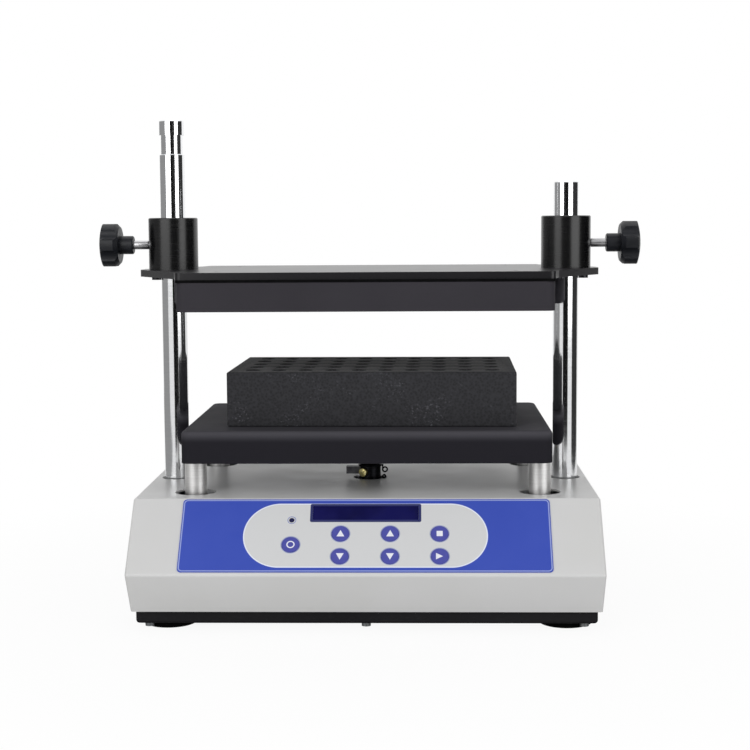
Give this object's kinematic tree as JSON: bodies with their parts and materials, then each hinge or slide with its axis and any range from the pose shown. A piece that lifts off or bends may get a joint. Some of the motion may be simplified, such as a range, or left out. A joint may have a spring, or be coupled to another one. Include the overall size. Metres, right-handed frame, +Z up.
{
  "type": "multi-tube vortex mixer",
  "caption": "Bench mixer that shakes racked sample tubes: sheet-metal base with sloped keypad, orbiting platform, foam rack and a clamp head on two posts.",
  "frame": {"origin": "on the bench under the middle of the outline, at the feet's soles", "axes": "+Z up, +X to the right as seen by the user, control panel towards -Y"},
  "size_m": [0.4816, 0.2798, 0.4282],
  "materials": {
    "cover_paint": "light grey semi-gloss powder coat",
    "black_paint": "black satin powder coat",
    "zinc_steel": "zinc plated, satin",
    "alloy_plate": "milled, satin",
    "motor_case": "dark grey, satin",
    "blackened_steel": "blackened, oiled",
    "trim_grey": "plain, satin",
    "bright_steel": "turned, satin",
    "post_chrome": "polished",
    "bearing_steel": "ground",
    "screw_steel": "dark zinc",
    "brass": "turned, satin",
    "black_rubber": "matte",
    "foam": "closed-cell foam, matte",
    "collar_black": "turned plastic, satin",
    "knob_black": "moulded, satin gloss",
    "overlay_blue": "printed film, fine matte",
    "key_blue": "printed film, fine matte",
    "display_window": "tinted, clear",
    "display_body": "dark blue liquid crystal",
    "board_green": "solder mask",
    "lamp": "diffusing lens",
    "inlet_black": "moulded",
    "rocker_black": "moulded"
  },
  "bodies": {
    "base": {"bottom_tray": "black_paint", "chassis_plate": "zinc_steel", "top_cover": "cover_paint", "rubber_feet": "black_rubber", "foot_screws": "screw_steel", "chassis_bolts": "screw_steel", "cover_screws": "screw_steel", "motor_housing": "motor_case", "motor_bridge": "zinc_steel", "mount_screws": "screw_steel", "rubber_isolators": "black_rubber", "control_overlay": "overlay_blue", "display_window": "display_window", "display_module": "display_body", "control_board": "board_green", "indicator_lamp": "lamp", "power_supply_board": "board_green", "power_inlet": "inlet_black", "switch_bezel": "inlet_black"},
    "drive": {"motor_shaft": "trim_grey", "eccentric_hub": "blackened_steel", "counterweight": "zinc_steel", "trim_weight": "trim_grey", "balance_screw": "brass", "retaining_clips": "blackened_steel"},
    "platform": {"carrier_plate": "alloy_plate", "support_plate": "alloy_plate", "platform_screws": "screw_steel", "orbit_bearing": "bearing_steel", "bearing_housing": "alloy_plate", "platform_tray": "black_paint", "left_post": "post_chrome", "right_post": "post_chrome", "post_nuts": "screw_steel", "foam_rack": "foam", "front_left_stand": "bright_steel", "front_right_stand": "bright_steel", "rear_left_stand": "bright_steel", "rear_right_stand": "bright_steel"},
    "clamp_head": {"top_plate": "black_paint", "left_collar": "collar_black", "right_collar": "collar_black", "collar_screws": "screw_steel", "pressure_tray": "black_paint", "foam_pad": "foam", "tray_screws": "screw_steel"},
    "left_stud": {"left_clamp_stud": "bright_steel"},
    "right_stud": {"right_clamp_stud": "bright_steel"},
    "left_grip": {"left_knob": "knob_black"},
    "right_grip": {"right_knob": "knob_black"},
    "rocker": {"power_rocker": "rocker_black"},
    "fuse_holder": {"fuse_drawer": "inlet_black"},
    "select_key": {"select_key": "key_blue"},
    "speed_up_key": {"speed_up_key": "key_blue"},
    "speed_down_key": {"speed_down_key": "key_blue"},
    "time_up_key": {"time_up_key": "key_blue"},
    "time_down_key": {"time_down_key": "key_blue"},
    "stop_key": {"stop_key": "key_blue"},
    "start_key": {"start_key": "key_blue"}
  },
  "joints": [
    {"name": "drive_spin", "type": "hinge", "parent": "base", "child": "drive", "pos_m": [0, 0.0202, 0.09], "axis": [0, 0, 1], "continuous": true},
    {"name": "platform_pivot", "type": "hinge", "parent": "drive", "child": "platform", "pos_m": [0, 0.022, 0.132], "axis": [0, 0, 1], "continuous": true},
    {"name": "head_slide", "type": "slide", "parent": "platform", "child": "clamp_head", "axis": [0, 0, 1], "range_m": [-0.0525, 0.0894]},
    {"name": "left_grip_turn", "type": "hinge", "parent": "left_stud", "child": "left_grip", "pos_m": [-0.2258, 0.022, 0.3182], "axis": [-1, 0, 0], "range_deg": [0, 1080]},
    {"name": "left_stud_travel", "type": "slide", "parent": "clamp_head", "child": "left_stud", "axis": [-1, 0, 0], "range_m": [0, 0.003]},
    {"name": "right_grip_turn", "type": "hinge", "parent": "right_stud", "child": "right_grip", "pos_m": [0.2258, 0.022, 0.3182], "axis": [1, 0, 0], "range_deg": [0, 1080]},
    {"name": "right_stud_travel", "type": "slide", "parent": "clamp_head", "child": "right_stud", "axis": [1, 0, 0], "range_m": [0, 0.003]},
    {"name": "select_key_press", "type": "slide", "parent": "base", "child": "select_key", "axis": [0, 0.7408, -0.6717], "range_m": [0, 0.0005], "stiffness_N_per_m": 900},
    {"name": "speed_up_key_press", "type": "slide", "parent": "base", "child": "speed_up_key", "axis": [0, 0.7408, -0.6717], "range_m": [0, 0.0005], "stiffness_N_per_m": 900},
    {"name": "speed_down_key_press", "type": "slide", "parent": "base", "child": "speed_down_key", "axis": [0, 0.7408, -0.6717], "range_m": [0, 0.0005], "stiffness_N_per_m": 900},
    {"name": "time_up_key_press", "type": "slide", "parent": "base", "child": "time_up_key", "axis": [0, 0.7408, -0.6717], "range_m": [0, 0.0005], "stiffness_N_per_m": 900},
    {"name": "time_down_key_press", "type": "slide", "parent": "base", "child": "time_down_key", "axis": [0, 0.7408, -0.6717], "range_m": [0, 0.0005], "stiffness_N_per_m": 900},
    {"name": "stop_key_press", "type": "slide", "parent": "base", "child": "stop_key", "axis": [0, 0.7408, -0.6717], "range_m": [0, 0.0005], "stiffness_N_per_m": 900},
    {"name": "start_key_press", "type": "slide", "parent": "base", "child": "start_key", "axis": [0, 0.7408, -0.6717], "range_m": [0, 0.0005], "stiffness_N_per_m": 900},
    {"name": "rocker_tilt", "type": "hinge", "parent": "base", "child": "rocker", "pos_m": [0.062, 0.1371, 0.064], "axis": [1, 0, 0], "range_deg": [0, 16]},
    {"name": "fuse_drawer_slide", "type": "slide", "parent": "base", "child": "fuse_holder", "axis": [0, 1, 0], "range_m": [0, 0.015]}
  ],
  "couplings": [
    {"joint": "platform_pivot", "follows": "drive_spin", "ratio": -1},
    {"joint": "left_grip_turn", "follows": "left_stud_travel", "rad_per_m": 6283.2},
    {"joint": "right_grip_turn", "follows": "right_stud_travel", "rad_per_m": 6283.2}
  ]
}
